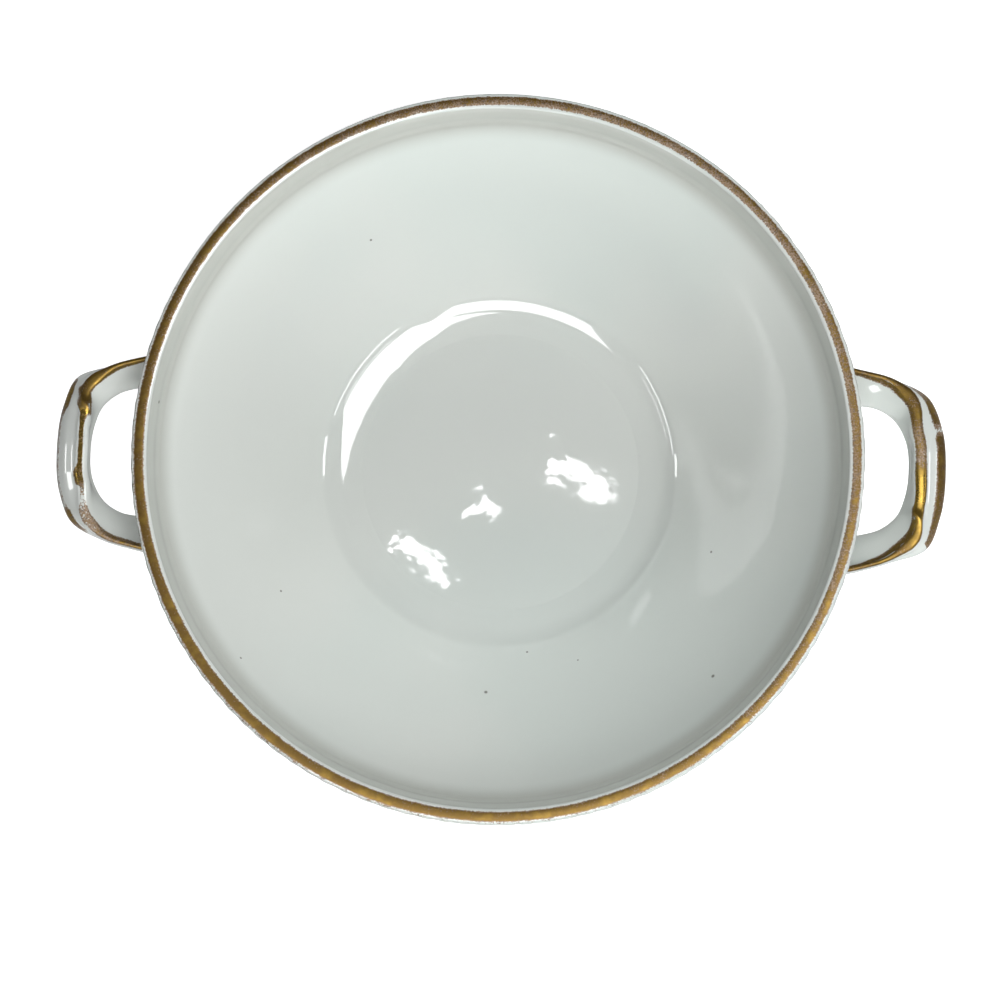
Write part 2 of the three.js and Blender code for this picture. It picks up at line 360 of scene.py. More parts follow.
# %% Bowl profile
BORDER_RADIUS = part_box("bowl_body")[1].x
BORDER_BULGE_DROP = 2.8 * MM
BORDER_HEIGHT = 8.5 * MM
COLLAR_RADIUS = LAND_INSIDE - 2.8 * MM
COLLAR_DEPTH = 9.6 * MM
LEDGE_WIDTH = 0.9 * MM
LEDGE_DROP = 0.8 * MM
WALL_THICKNESS = 3.6 * MM
WALL_LEAN = math.radians(67)
WALL_SHOULDER = 13 * MM
WELL_LEAN = math.radians(40)
WELL_FLARE = 24 * MM
WELL_RADIUS = 57.5 * MM
WELL_DEPTH = 55.5 * MM
BEND_RADIUS = 51 * MM
BEND_LEAN = math.radians(12)
FLOOR_RADIUS = 44.5 * MM
FLOOR_LEAN = math.radians(8)
EDGE_ROUND = 0.06 * MM
FOOT_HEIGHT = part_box("foot_ring")[1].z
FOOT_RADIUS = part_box("foot_ring")[1].x
FOOT_WIDTH = 5 * MM
SEAT_EDGE = FOOT_RADIUS + 0.8 * MM
UNDERSIDE_DEPTH = LAND_HEIGHT - FOOT_HEIGHT
WALL_STEPS = 26
COVE_POINTS = 3  # so many points of the wall give way to the curve above the foot
COVE_STEPS = 6
BORDER_STEPS = 5
COLLAR_STEPS = 4
WELL_STEPS = 14
SHELF_STEPS = 12
FLOOR_STEPS = 8
FLAT_STEPS = 4  # on the underside and on the land


def at(radius, depth):
    """A point of a turned profile: its distance from the axis and its depth below the rim."""
    return Vector((radius, 0, LAND_HEIGHT - depth))


def inner_wall():
    top = at(COLLAR_RADIUS - LEDGE_WIDTH, COLLAR_DEPTH + LEDGE_DROP)
    bottom = at(WELL_RADIUS, WELL_DEPTH)
    leave = top + Vector((-math.cos(WALL_LEAN), 0, -math.sin(WALL_LEAN))) * WALL_SHOULDER
    arrive = bottom + Vector((math.cos(WELL_LEAN), 0, math.sin(WELL_LEAN))) * WELL_FLARE
    return interpolate_bezier(top, leave, arrive, bottom, WALL_STEPS + 1)


def outer_wall():
    """The inner wall moved outwards by the thickness of the wall."""
    line = inner_wall()
    moved = []
    for before, point, after in zip(line[:1] + line, line, line[1:] + line[-1:]):
        along = (after - before).normalized()
        moved.append(point + Vector((-along.z, 0, along.x)) * WALL_THICKNESS)
    return moved


def outside_line():
    """From the seat of the foot ring, up the wall and over the border to the edge of the land."""
    wall = outer_wall()[:-COVE_POINTS]
    slope = (wall[-2] - wall[-1]).normalized()
    seat = at(SEAT_EDGE, UNDERSIDE_DEPTH)
    corner = wall[-1] - slope * ((wall[-1].x - SEAT_EDGE) / slope.x)
    cove = arc_line(seat, corner, wall[-1], COVE_STEPS)
    border = smooth_line([
        wall[0],
        at(COLLAR_RADIUS + WALL_THICKNESS, BORDER_HEIGHT),
        at(BORDER_RADIUS - 0.9 * MM, BORDER_HEIGHT - 3 * MM),
        at(BORDER_RADIUS, BORDER_BULGE_DROP),
        at(BORDER_RADIUS - 0.5 * MM, 1.1 * MM),
        at(LAND_OUTSIDE, 0)], BORDER_STEPS)
    return cove[:-1] + wall[:0:-1] + border


def easing_slope(start, lean, radius, next_lean, steps):
    """A curve from a point in to a radius, whose slope changes evenly from one lean to the next."""
    run = (start.x - radius) / 2
    corner = start - Vector((run, 0, run * math.tan(lean)))
    end = corner - Vector((run, 0, run * math.tan(next_lean)))
    return arc_line(start, corner, end, steps)


def inside_line():
    """From the land, down the collar and the wall and across the floor to the axis."""
    collar = smooth_line([
        at(LAND_INSIDE, 0),
        at(LAND_INSIDE - 0.55 * MM, 0.35 * MM),
        at(LAND_INSIDE - 0.85 * MM, 1.1 * MM),
        at((LAND_INSIDE + COLLAR_RADIUS) / 2 - 0.4 * MM, COLLAR_DEPTH / 2),
        at(COLLAR_RADIUS, COLLAR_DEPTH - 0.3 * MM),
        at(COLLAR_RADIUS - LEDGE_WIDTH * 0.6, COLLAR_DEPTH + 0.3 * MM)], COLLAR_STEPS)
    well = easing_slope(at(WELL_RADIUS, WELL_DEPTH), WELL_LEAN, BEND_RADIUS, BEND_LEAN, WELL_STEPS)
    shelf = easing_slope(well[-1], BEND_LEAN, FLOOR_RADIUS + EDGE_ROUND * 2, FLOOR_LEAN, SHELF_STEPS)
    edge = shelf[-1] + Vector((-EDGE_ROUND, 0, -EDGE_ROUND * math.tan(FLOOR_LEAN)))
    flat = Vector((FLOOR_RADIUS - EDGE_ROUND, 0, edge.z))
    axis = Vector((0, 0, edge.z))
    floor = [Vector((FLOOR_RADIUS, 0, edge.z))]
    floor += [flat.lerp(axis, step / FLOOR_STEPS) for step in range(FLOOR_STEPS + 1)]
    return collar + inner_wall() + well[1:] + shelf[1:] + [edge] + floor


def bowl_profile():
    middle = at(0, UNDERSIDE_DEPTH)
    seat = at(SEAT_EDGE, UNDERSIDE_DEPTH)
    under = [middle.lerp(seat, step / FLAT_STEPS) for step in range(FLAT_STEPS)]
    outer, inner = at(LAND_OUTSIDE, 0), at(LAND_INSIDE, 0)
    land = [outer.lerp(inner, step / FLAT_STEPS) for step in range(1, FLAT_STEPS)]
    return under + outside_line() + land + inside_line()


print("bowl profile of", len(bowl_profile()), "points")

# %% [markdown]
# The border below the gold has a row of small, soft waves. They are real shape, so after the spin each
# point of the border moves inwards a little, by a wave that runs round the rim. Noise makes some waves
# faint and others plain, because in the photograph they are uneven. A long spin slows down
# with every step that is already there, so one sector is spun, and the copies are turned into place.

# %% Spun shapes
BOWL_STEPS = 720
PLAIN_STEPS = 288
TURN_SECTORS = 12
MERGE_DISTANCE = 0.001 * MM
BORDER_WAVES = 112
WAVE_DEPTH = 0.5 * MM
WAVE_SHARE = 0.65  # the rest of the depth is a slow unevenness
WAVE_FADE_SCALE = 9
WAVE_SLOW_SCALE = 4
WAVE_DRIFT_SCALE = 14
WAVE_DRIFT = 1.6  # radians of the wave
BORDER_TOP = 0.4 * MM


def spin_profile(profile, steps, closed=False):
    """A bmesh with the profile turned a full round about the bowl's axis."""
    bm = bmesh.new()
    verts = [bm.verts.new(point) for point in profile]
    edges = [bm.edges.new(pair) for pair in zip(verts, verts[1:])]
    if closed:
        edges.append(bm.edges.new((verts[-1], verts[0])))
    sector = math.tau / TURN_SECTORS
    bmesh.ops.spin(bm, geom=verts + edges, cent=(0, 0, 0), axis=(0, 0, 1), angle=sector,
                   steps=steps // TURN_SECTORS)
    first = bm.verts[:] + bm.edges[:] + bm.faces[:]
    for turn in range(1, TURN_SECTORS):
        copy = bmesh.ops.duplicate(bm, geom=first)["geom"]
        moved = [part for part in copy if isinstance(part, bmesh.types.BMVert)]
        bmesh.ops.rotate(bm, verts=moved, cent=(0, 0, 0), matrix=Matrix.Rotation(sector * turn, 3, "Z"))
    bmesh.ops.remove_doubles(bm, verts=bm.verts[:], dist=MERGE_DISTANCE)
    bmesh.ops.recalc_face_normals(bm, faces=bm.faces[:])
    return bm


def border_wave(bearing):
    """How far the border lies inside its full radius at a bearing."""
    ring = Vector((math.cos(bearing), math.sin(bearing), 0))
    plain = 0.55 + 0.45 * noise.noise(ring * WAVE_FADE_SCALE)
    slow = 0.5 + 0.5 * noise.noise(ring * WAVE_SLOW_SCALE + Vector((5, 0, 0)))
    drift = WAVE_DRIFT * noise.noise(ring * WAVE_DRIFT_SCALE)
    wave = 0.5 - 0.5 * math.cos(BORDER_WAVES * bearing + drift)
    return WAVE_DEPTH * (WAVE_SHARE * wave * plain + (1 - WAVE_SHARE) * slow)


def press_border(bm):
    """Moves the border's points inwards, and the rim's least of all."""
    top = LAND_HEIGHT - BORDER_TOP
    foot = LAND_HEIGHT - BORDER_HEIGHT
    for vert in bm.verts:
        radius = vert.co.xy.length
        if radius > COLLAR_RADIUS + WALL_THICKNESS and foot < vert.co.z < top:
            full = smooth_step(radius, LAND_OUTSIDE - 0.8 * MM, BORDER_RADIUS - 0.6 * MM)
            inward = border_wave(math.atan2(vert.co.y, vert.co.x)) * full
            vert.co.xy *= (radius - inward) / radius


bowl = spin_profile(bowl_profile(), BOWL_STEPS)
press_border(bowl)
finish_piece(bowl, "glazed_bowl", ["bowl_body"], bowl_porcelain)

# %% [markdown]
# ## Foot ring
# Such a ring can be made apart and stuck to the damp bowl with slip, which leaves a small fillet all round.
# None of it can be seen in the photograph, so its section is the usual one: a seat, a waist and a standing
# edge with two rounded corners, joined by a smooth line and spun like the bowl.

# %% Foot ring
FOOT_TAPER = 0.9 * MM
FOOT_EDGE = 0.7 * MM
FOOT_FILLET = 0.6 * MM
FOOT_SINK = 0.3 * MM
FOOT_STEPS = 4
FOOT_SWELL = 0.08 * MM  # the smooth curve dips this far below its points


def foot_profile():
    inner = FOOT_RADIUS - FOOT_WIDTH
    table = UNDERSIDE_DEPTH + FOOT_HEIGHT - FOOT_SWELL
    seat = UNDERSIDE_DEPTH - FOOT_SINK
    return smooth_line([
        at(inner - FOOT_FILLET, seat),
        at(inner + 0.2 * MM, UNDERSIDE_DEPTH + 1.4 * MM),
        at(inner + FOOT_TAPER, table - FOOT_EDGE * 2),
        at(inner + FOOT_TAPER + FOOT_EDGE * 0.4, table - FOOT_EDGE * 0.4),
        at(inner + FOOT_TAPER + FOOT_EDGE * 1.4, table),
        at(FOOT_RADIUS - FOOT_TAPER - FOOT_EDGE * 1.4, table),
        at(FOOT_RADIUS - FOOT_TAPER - FOOT_EDGE * 0.4, table - FOOT_EDGE * 0.4),
        at(FOOT_RADIUS - FOOT_TAPER, table - FOOT_EDGE * 2),
        at(FOOT_RADIUS - FOOT_TAPER * 0.8, table - FOOT_HEIGHT / 2),
        at(FOOT_RADIUS - 0.2 * MM, UNDERSIDE_DEPTH + 1 * MM),
        at(FOOT_RADIUS, seat)], FOOT_STEPS)


foot = spin_profile(foot_profile(), PLAIN_STEPS, closed=True)
finish_piece(foot, "glazed_foot_ring", ["foot_ring"], foot_porcelain)

# %% [markdown]
# ## Worn gold
# Such gold is brushed on and fired, and it is far thinner than paper. It is worn in stages: the metal is
# brown and dull, then pinkish tones show through its grain, then it is gone, and dark stains stay behind
# in the pits. One value, the cover, runs through all the stages. The group takes how worn the gold is,
# how polished it is, and how far a point lies from the middle of the brush stroke, from 0 to 1.

# %% Worn gold group
GOLD_LEAF = (0.38, 0.245, 0.04, 1)
GOLD_BROWN = (0.14, 0.082, 0.017, 1)
GOLD_RUBBED = (0.23, 0.15, 0.085, 1)
GOLD_STAIN = (0.05, 0.03, 0.014, 1)
GRAIN_SCALE = 2000.0
PATCH_SCALE = 260.0
STAIN_SCALE = 1700.0
GRAIN_SHARE = 1.2
PATCH_SHARE = 0.6
BASE_COVER = 0.1
EDGE_FADE = 0.8
GILT_COVER = 0.14, 0.26
RUBBED_COVER = 0.66, 0.36
PITTED_COVER = 0.72, 0.45
STAINED_COVER = 0.0, 0.25
STAIN_RANGE = 0.43, 0.36
STAIN_STRENGTH = 0.8
POOLED_EDGE = 0.45, 0.75
POOLED_STRENGTH = 0.5
RUBBED_DULLNESS = 0.8
GOLD_METAL = 0.85
GOLD_ROUGHNESS = 0.5, 0.24


def worn_gold_group():
    inputs = [("Place", "NodeSocketVector"), ("Wear", "NodeSocketFloat"), ("Polish", "NodeSocketFloat"),
              ("Across", "NodeSocketFloat")]
    outputs = [("Mask", "NodeSocketFloat"), ("Metal", "NodeSocketFloat"), ("Color", "NodeSocketColor"),
               ("Roughness", "NodeSocketFloat")]
    group, start, end = new_group("worn_gold", inputs, outputs)
    place = start.outputs["Place"]
    grain = noise_node(group, place, GRAIN_SCALE, detail=3, roughness=0.6)
    patch = noise_node(group, place, PATCH_SCALE, detail=3, roughness=0.6)
    stain = noise_node(group, place, STAIN_SCALE, detail=1)
    fade = range_node(group, start.outputs["Across"], 0.5, 1.0, 0.0, EDGE_FADE)
    laid = math_node(group, "MULTIPLY_ADD", patch, PATCH_SHARE, BASE_COVER)
    laid = math_node(group, "MULTIPLY_ADD", grain, GRAIN_SHARE, laid)
    left = math_node(group, "SUBTRACT", laid, fade)
    cover = math_node(group, "SUBTRACT", left, start.outputs["Wear"])
    gilt = range_node(group, cover, *GILT_COVER)
    rubbed = range_node(group, cover, *RUBBED_COVER)
    pitted = range_node(group, cover, *PITTED_COVER)
    stained = math_node(group, "MULTIPLY", range_node(group, stain, *STAIN_RANGE), pitted)
    held = range_node(group, cover, *STAINED_COVER, 0.0, STAIN_STRENGTH)
    stained = math_node(group, "MULTIPLY", stained, held)
    patchy = math_node(group, "MULTIPLY_ADD", patch, 1.6, -0.8)
    shine = math_node(group, "ADD", patchy, start.outputs["Polish"], clamp=True)
    colour = mix_node(group, shine, GOLD_BROWN, GOLD_LEAF)
    pooled = range_node(group, start.outputs["Across"], *POOLED_EDGE, 0.0, POOLED_STRENGTH)
    colour = mix_node(group, pooled, colour, GOLD_BROWN)
    colour = mix_node(group, rubbed, colour, GOLD_RUBBED)
    colour = mix_node(group, stained, colour, GOLD_STAIN)
    group.links.new(colour, end.inputs["Color"])
    group.links.new(math_node(group, "MAXIMUM", gilt, stained), end.inputs["Mask"])
    dull = math_node(group, "MULTIPLY", rubbed, RUBBED_DULLNESS)
    dull = math_node(group, "MAXIMUM", dull, stained)
    bright = range_node(group, dull, 0.0, 1.0, GOLD_METAL, 0.0)
    group.links.new(math_node(group, "MULTIPLY", bright, gilt), end.inputs["Metal"])
    group.links.new(range_node(group, shine, 0.0, 1.0, *GOLD_ROUGHNESS), end.inputs["Roughness"])
    return group


WORN_GOLD = worn_gold_group()
print("worn gold group with", len(WORN_GOLD.nodes), "nodes")


def gilded_material(name):
    """Glaze with worn gold over it, and the gold group left open for its wear and its stroke."""
    made = glazed_material(name)
    tree = made.tree
    gold = add_node(tree, "ShaderNodeGroup", node_tree=WORN_GOLD)
    tree.links.new(made.place, gold.inputs["Place"])
    mask = gold.outputs["Mask"]
    colour = mix_node(tree, mask, made.glaze.outputs["Color"], gold.outputs["Color"])
    tree.links.new(colour, made.shader.inputs["Base Color"])
    rough = mix_value_node(tree, mask, made.glaze.outputs["Roughness"], gold.outputs["Roughness"])
    tree.links.new(rough, made.shader.inputs["Roughness"])
    tree.links.new(gold.outputs["Metal"], made.shader.inputs["Metallic"])
    made.gold = gold
    return made


# %% [markdown]
# ## Gilt rim
# The band of gold lies over the top of the rim. Its skin is a low dome with a flat underside, spun like
# the bowl, and both of its edges dip under the glaze, so that no step shows. The radius tells the
# material where the middle of the brush stroke is. The inner half is worn most, and the far right side
# is more rubbed than the near left one.

# %% Gilt rim
LAND_MIDDLE = (LAND_INSIDE + LAND_OUTSIDE) / 2
RIM_SKIN_WIDTH = 4.4 * MM
RIM_SKIN_UNDERSIDE = 0.84 * RIM_SKIN_WIDTH
RIM_SKIN_STEPS = 12
RIM_SKIN_ROUND = 2.4
RIM_SKIN_CROWN = 0.3 * MM
RIM_SKIN_DIP = 0.25 * MM
RIM_STROKE_WIDTH = 3.6 * MM
RIM_WEAR = 0.37
RIM_INNER_WEAR = 0.12
RIM_WEAR_RIGHT = 0.09
RIM_WEAR_FAR = 0.14
RIM_POLISH = 0.05


def rim_skin_profile():
    top = []
    for step in range(RIM_SKIN_STEPS + 1):
        side = 2 * step / RIM_SKIN_STEPS - 1
        lift = RIM_SKIN_CROWN - (RIM_SKIN_CROWN + RIM_SKIN_DIP) * abs(side) ** RIM_SKIN_ROUND
        top.append(at(LAND_MIDDLE + side * RIM_SKIN_WIDTH / 2, -lift))
    under = [at(LAND_MIDDLE + side * RIM_SKIN_UNDERSIDE / 2, RIM_SKIN_DIP * 2) for side in (1, -1)]
    return top + under


def rim_gold_material():
    made = gilded_material("worn_rim_gold")
    tree = made.tree
    radius = radius_node(tree, made.place)
    inward = math_node(tree, "SUBTRACT", LAND_MIDDLE, radius)
    inward = math_node(tree, "DIVIDE", inward, RIM_STROKE_WIDTH / 2)
    tree.links.new(math_node(tree, "ABSOLUTE", inward), made.gold.inputs["Across"])
    split = add_node(tree, "ShaderNodeSeparateXYZ", [(0, made.place)])
    wear = math_node(tree, "MULTIPLY_ADD", inward, RIM_INNER_WEAR, RIM_WEAR)
    wear = math_node(tree, "MULTIPLY_ADD", split.outputs["X"], RIM_WEAR_RIGHT / LAND_OUTSIDE, wear)
    wear = math_node(tree, "MULTIPLY_ADD", split.outputs["Y"], RIM_WEAR_FAR / LAND_OUTSIDE, wear)
    tree.links.new(wear, made.gold.inputs["Wear"])
    made.gold.inputs["Polish"].default_value = RIM_POLISH
    return made.material


rim_skin = spin_profile(rim_skin_profile(), BOWL_STEPS // 2, closed=True)
finish_piece(rim_skin, "gilt_rim", ["rim_gilding"], rim_gold_material())

# %% [markdown]
# ## Handles
# Each handle is a cast strap bent into a loop, with one corner sharper than the other. A raised bead
# runs along the outside of one leg, wanders across the strap at the corner, follows the grip near its
# inner edge and goes back out along the other leg. The loop is drawn from above as two smooth lines, the
# inner and the outer edge, and the strap's section is drawn again at each station between them.

# %% Loop seen from above
LOOP_OUTSIDE = (  # shares of the reach away from the border, and of half the spread
    (0, -1), (0.42, -0.89), (0.8, -0.755), (0.94, -0.46), (1, 0),
    (0.95, 0.44), (0.8, 0.73), (0.44, 0.9), (0, 1))
LOOP_INSIDE = (
    (0, -1), (0.5, -0.88), (0.79, -0.68), (0.94, -0.38), (1, 0),
    (0.93, 0.48), (0.7, 0.79), (0.38, 0.95), (0, 1))
OPENING_REACH = 15.7 * MM
HANDLE_SPREAD = 61 * MM
OPENING_SPREAD = 39.6 * MM
ROOT_DEPTH = 26 * MM
ROOT_SPLAY = 4 * MM
LOOP_STEPS = 24


def loop_line(shares, reach, spread, legs):
    """One edge of the loop, from inside the wall, round the grip and back into the wall."""
    sharp, blunt = legs
    points = [Vector((BORDER_RADIUS - ROOT_DEPTH, -spread / 2 - ROOT_SPLAY - sharp))]
    for out, along in shares:
        widen = blunt * max(along, 0) - sharp * max(-along, 0)
        points.append(Vector((BORDER_RADIUS + out * reach, along * spread / 2 + widen)))
    points.append(Vector((BORDER_RADIUS - ROOT_DEPTH, spread / 2 + ROOT_SPLAY + blunt)))
    return smooth_line(points, LOOP_STEPS)


def part_way(line, share):
    """The point of a line at a share of the way along its points."""
    place = share * (len(line) - 1)
    index = min(int(place), len(line) - 2)
    return line[index].lerp(line[index + 1], place - index)


HANDLE_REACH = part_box("handle_right_edge_gilding")[1].x - BORDER_RADIUS
handles = {  # legs: how much wider the loop is at the leg by the sharp corner, and by the blunt one
    "right": SimpleNamespace(turn=0, reach=HANDLE_REACH - 0.2 * MM, legs=(0.5 * MM, 0)),
    "left": SimpleNamespace(turn=math.pi, reach=HANDLE_REACH - 1.2 * MM, legs=(-1.8 * MM, 0)),
}
for handle in handles.values():
    handle.outside = loop_line(LOOP_OUTSIDE, handle.reach, HANDLE_SPREAD, handle.legs)
    handle.inside = loop_line(LOOP_INSIDE, OPENING_REACH, OPENING_SPREAD, (0, 0))
    handle.length = sum((b - a).length for a, b in zip(handle.outside, handle.outside[1:]))
    print("handle loop of", round(handle.length / MM), "mm")

# %% Strap section
GRIP_BEAD_DROP = 11.5 * MM
LEG_BEAD_DROP = 14.5 * MM
LEG_BEAD_INSET = 1.4 * MM
GRIP_BEAD_INSET = 8.6 * MM
BEAD_OFF_EDGE = 0.15  # share of the way round the loop
BEAD_ON_GRIP = 0.4
INNER_FALL = 7 * MM
LEG_SLOPE = 0.75
OUTER_FALL = 6.5 * MM
CENTRE_FALL = INNER_FALL * 0.7
STRAP_EDGE = 2.6 * MM
STRAP_BELLY = 1.4 * MM
FACE_CROWN = 0.8 * MM
BEAD_HALF = 1.7 * MM
BEAD_PROUD = 0.35 * MM
KNOT_SHARE = 0.343
KNOT_HEIGHT = 1 * MM
KNOT_LEAN = 0.8 * MM
KNOT_LENGTH = 2.6 * MM
KNOT_SWELL = 0.4 * MM
SECTION_POINTS = 15
SECTION_STEPS = 3
OUTER_NOSE = 5  # which of the section's points is the outermost


def strap_section(handle, share):
    """Points round the strap at a share of the loop, from the bead outwards and back underneath.

    Each point is a distance across the strap from its inner edge, and a fall below the bead's line."""
    inside, outside = part_way(handle.inside, share), part_way(handle.outside, share)
    width = (outside - inside).length
    knot = math.exp(-(((share - KNOT_SHARE) * handle.length / KNOT_LENGTH) ** 2))
    grip = smooth_step(min(share, 1 - share), BEAD_OFF_EDGE, BEAD_ON_GRIP)
    inset = LEG_BEAD_INSET + (GRIP_BEAD_INSET - LEG_BEAD_INSET) * grip
    bead = width - inset - knot * KNOT_LEAN * 0.5
    half = min(BEAD_HALF, inset * 0.45) + knot * KNOT_SWELL
    proud = BEAD_PROUD + knot * KNOT_HEIGHT
    inner_fall = max(INNER_FALL, (width - inset) * LEG_SLOPE)
    base = inner_fall + STRAP_EDGE
    points = [
        (bead, BEAD_PROUD - proud),
        (bead + half * 0.75, BEAD_PROUD - proud * 0.55),
        (bead + half * 1.15, BEAD_PROUD + 0.35 * MM),
        (bead + inset * 0.66, OUTER_FALL * 0.5 - FACE_CROWN * grip),
        (width - 0.3 * MM, OUTER_FALL - 1.3 * MM),
        (width, OUTER_FALL + 0.1 * MM),
        (width - STRAP_EDGE * 0.4, OUTER_FALL + STRAP_EDGE * 0.8),
        (width * 0.67, base + STRAP_BELLY),
        (width * 0.33, base + STRAP_BELLY),
        (STRAP_EDGE * 0.35, base),
        (0, inner_fall + STRAP_EDGE * 0.5),
        (STRAP_EDGE * 0.16, inner_fall - 0.2 * MM),
        ((bead - BEAD_HALF) * 0.5, inner_fall * 0.5 + 0.2 * MM),
        (bead - half * 1.15, BEAD_PROUD + 0.4 * MM),
        (bead - half * 0.8 - knot * KNOT_LEAN * 0.5, BEAD_PROUD - proud * 0.5)]
    return smooth_line(points, SECTION_STEPS, closed=True)


SECTION_TABLE = 240
for handle in handles.values():
    handle.sections = [strap_section(handle, index / SECTION_TABLE) for index in range(SECTION_TABLE + 1)]


def section_at(handle, share):
    """The section at any share, between the two nearest of those worked out."""
    place = share * SECTION_TABLE
    index = min(int(place), SECTION_TABLE - 1)
    near, far = handle.sections[index], handle.sections[index + 1]
    return [a.lerp(b, place - index) for a, b in zip(near, far)]


def bead_height(share):
    """Height of the bead's line, which is highest on the grip."""
    rise = math.sin(math.pi * share)
    return LAND_HEIGHT - LEG_BEAD_DROP + (LEG_BEAD_DROP - GRIP_BEAD_DROP) * rise - BEAD_PROUD


print("strap section of", len(handles["right"].sections[0]), "points")


# %% [markdown]
# The strap ends on the outside of the bowl. Each line along the strap is followed inwards until it is
# just under the surface of the wall, so that the handle grows out of the bowl and nothing shows inside it.
# Close to the wall the section swells a little, as slip does where a handle is pressed on.

# %% Strap in space
ROOT_SINK = 1.2 * MM
SLIP_FILLET = 1.3 * MM
ROOT_CLEAR = 0.7  # so far from the middle of the grip to the end, a line is still outside the wall
ROOT_HALVINGS = 14
wall_line = sorted(outside_line(), key=lambda point: point.z)


def wall_radius(height):
    """Radius of the bowl's outside at a height."""
    for lower, upper in zip(wall_line, wall_line[1:]):
        if lower.z <= height <= upper.z and upper.z > lower.z:
            return lower.lerp(upper, (height - lower.z) / (upper.z - lower.z)).x
    return wall_line[-1].x


def in_space(handle, share, section_point):
    """Where a point of the section lies, for the right handle, and how far that is from the wall."""
    across, fall = section_point
    inside, outside = part_way(handle.inside, share), part_way(handle.outside, share)
    flat = inside + (outside - inside).normalized() * across
    point = Vector((flat.x, flat.y, bead_height(share) - fall))
    away = flat.length - wall_radius(point.z)
    swell = SLIP_FILLET * math.exp(-max(away, 0) / SLIP_FILLET)
    middle = inside.lerp(outside, 0.5)
    centre = Vector((middle.x, middle.y, bead_height(share) - CENTRE_FALL))
    return point + (point - centre).normalized() * swell, away


def root_share(handle, column, end):
    """The share of the loop at which one line of the strap is sunk in the wall."""
    sunk, clear = end, 0.5 + (end - 0.5) * ROOT_CLEAR
    for _ in range(ROOT_HALVINGS):
        half = (sunk + clear) / 2
        away = in_space(handle, half, section_at(handle, half)[column])[1]
        sunk, clear = (half, clear) if away < -ROOT_SINK else (sunk, half)
    return sunk


STATIONS = 150
COLUMNS = SECTION_POINTS * SECTION_STEPS


def handle_strap(handle):
    """A flat sheet bent into the strap: its width goes round the section, its length round the loop."""
    bm = bmesh.new()
    bmesh.ops.create_grid(bm, x_segments=COLUMNS, y_segments=STATIONS, size=1)
    ends = [(root_share(handle, column, 0), root_share(handle, column, 1)) for column in range(COLUMNS)]
    for vert in bm.verts:
        column = round((vert.co.x + 1) / 2 * COLUMNS) % COLUMNS
        first, last = ends[column]
        share = first + (last - first) * (vert.co.y + 1) / 2
        vert.co = in_space(handle, share, section_at(handle, share)[column])[0]
    bmesh.ops.remove_doubles(bm, verts=bm.verts[:], dist=MERGE_DISTANCE)
    open_ends = [edge for edge in bm.edges if edge.is_boundary]
    bmesh.ops.holes_fill(bm, edges=open_ends)
    bmesh.ops.rotate(bm, verts=bm.verts[:], cent=(0, 0, 0), matrix=Matrix.Rotation(handle.turn, 3, "Z"))
    bmesh.ops.recalc_face_normals(bm, faces=bm.faces[:])
    return bm


for side, handle in handles.items():
    strap = handle_strap(handle)
    finish_piece(strap, f"glazed_handle_{side}", [f"handle_{side}"], plain_porcelain)

# %% [markdown]
# ## Gilding on the handles
# Two brush strokes follow each handle: one along the bead from wall to wall, one along the outer edge of
# the grip. Each is a thin skin that lies on the strap, a twentieth of a millimetre above the glaze in its
# middle and just under it at its edges. A short table gives the stroke's two sides in millimetres, because
# the stroke isn't equally wide everywhere. A ramp along the stroke holds the wear there in its red and
# the polish in its green.

# %% Gilt strokes
SKIN_LIFT = 0.05 * MM
SKIN_DIP = 0.06 * MM
SKIN_THICKNESS = 0.12 * MM
STROKE_COLUMNS = 16
EDGE_STROKE_INSET = 2.8 * MM


def walk_section(section, distance):
    """A point of the section, and the way out of the strap there, so far round from the bead."""
    count = len(section)
    index = 0
    step = 1 if distance >= 0 else -1
    left = abs(distance)
    while True:
        here, there = section[index % count], section[(index + step) % count]
        span = (there - here).length
        if left <= span:
            break
        left -= span
        index += step
    along = (there - here).normalized() * step
    return here.lerp(there, left / span), Vector((along.y, -along.x))


def outer_nose_distance(section):
    """How far round from the bead the strap's outer edge is."""
    stretch = section[:OUTER_NOSE * SECTION_STEPS + 1]
    return sum((b - a).length for a, b in zip(stretch, stretch[1:]))


def stroke_sides(table, share):
    """How far the stroke reaches inwards and outwards at a share of the loop."""
    for (start, *near), (end, *far) in zip(table, table[1:]):
        if share <= end:
            ease = smooth_step(share, start, end)
            return [MM * (a + (b - a) * ease) for a, b in zip(near, far)]
    return [MM * reach for reach in table[-1][1:]]


def gilt_stroke(handle, table, at_edge):
    """A skin along the strap from the first to the last share of its table."""
    first, last = table[0][0], table[-1][0]
    bm = bmesh.new()
    bm.loops.layers.uv.new("stroke")
    bmesh.ops.create_grid(bm, x_segments=STROKE_COLUMNS, y_segments=STATIONS, size=1, calc_uvs=True)
    for vert in bm.verts:
        side = vert.co.x
        share = first + (last - first) * (vert.co.y + 1) / 2
        section = section_at(handle, share)
        middle = outer_nose_distance(section) - EDGE_STROKE_INSET if at_edge else 0
        inwards, outwards = stroke_sides(table, share)
        point, normal = walk_section(section, middle + side * (inwards if side < 0 else outwards))
        lift = SKIN_LIFT - (SKIN_LIFT + SKIN_DIP) * side ** 4
        vert.co = in_space(handle, share, point + normal * lift)[0]
    bmesh.ops.rotate(bm, verts=bm.verts[:], cent=(0, 0, 0), matrix=Matrix.Rotation(handle.turn, 3, "Z"))
    bmesh.ops.recalc_face_normals(bm, faces=bm.faces[:])
    bmesh.ops.solidify(bm, geom=bm.faces[:], thickness=SKIN_THICKNESS)
    return bm


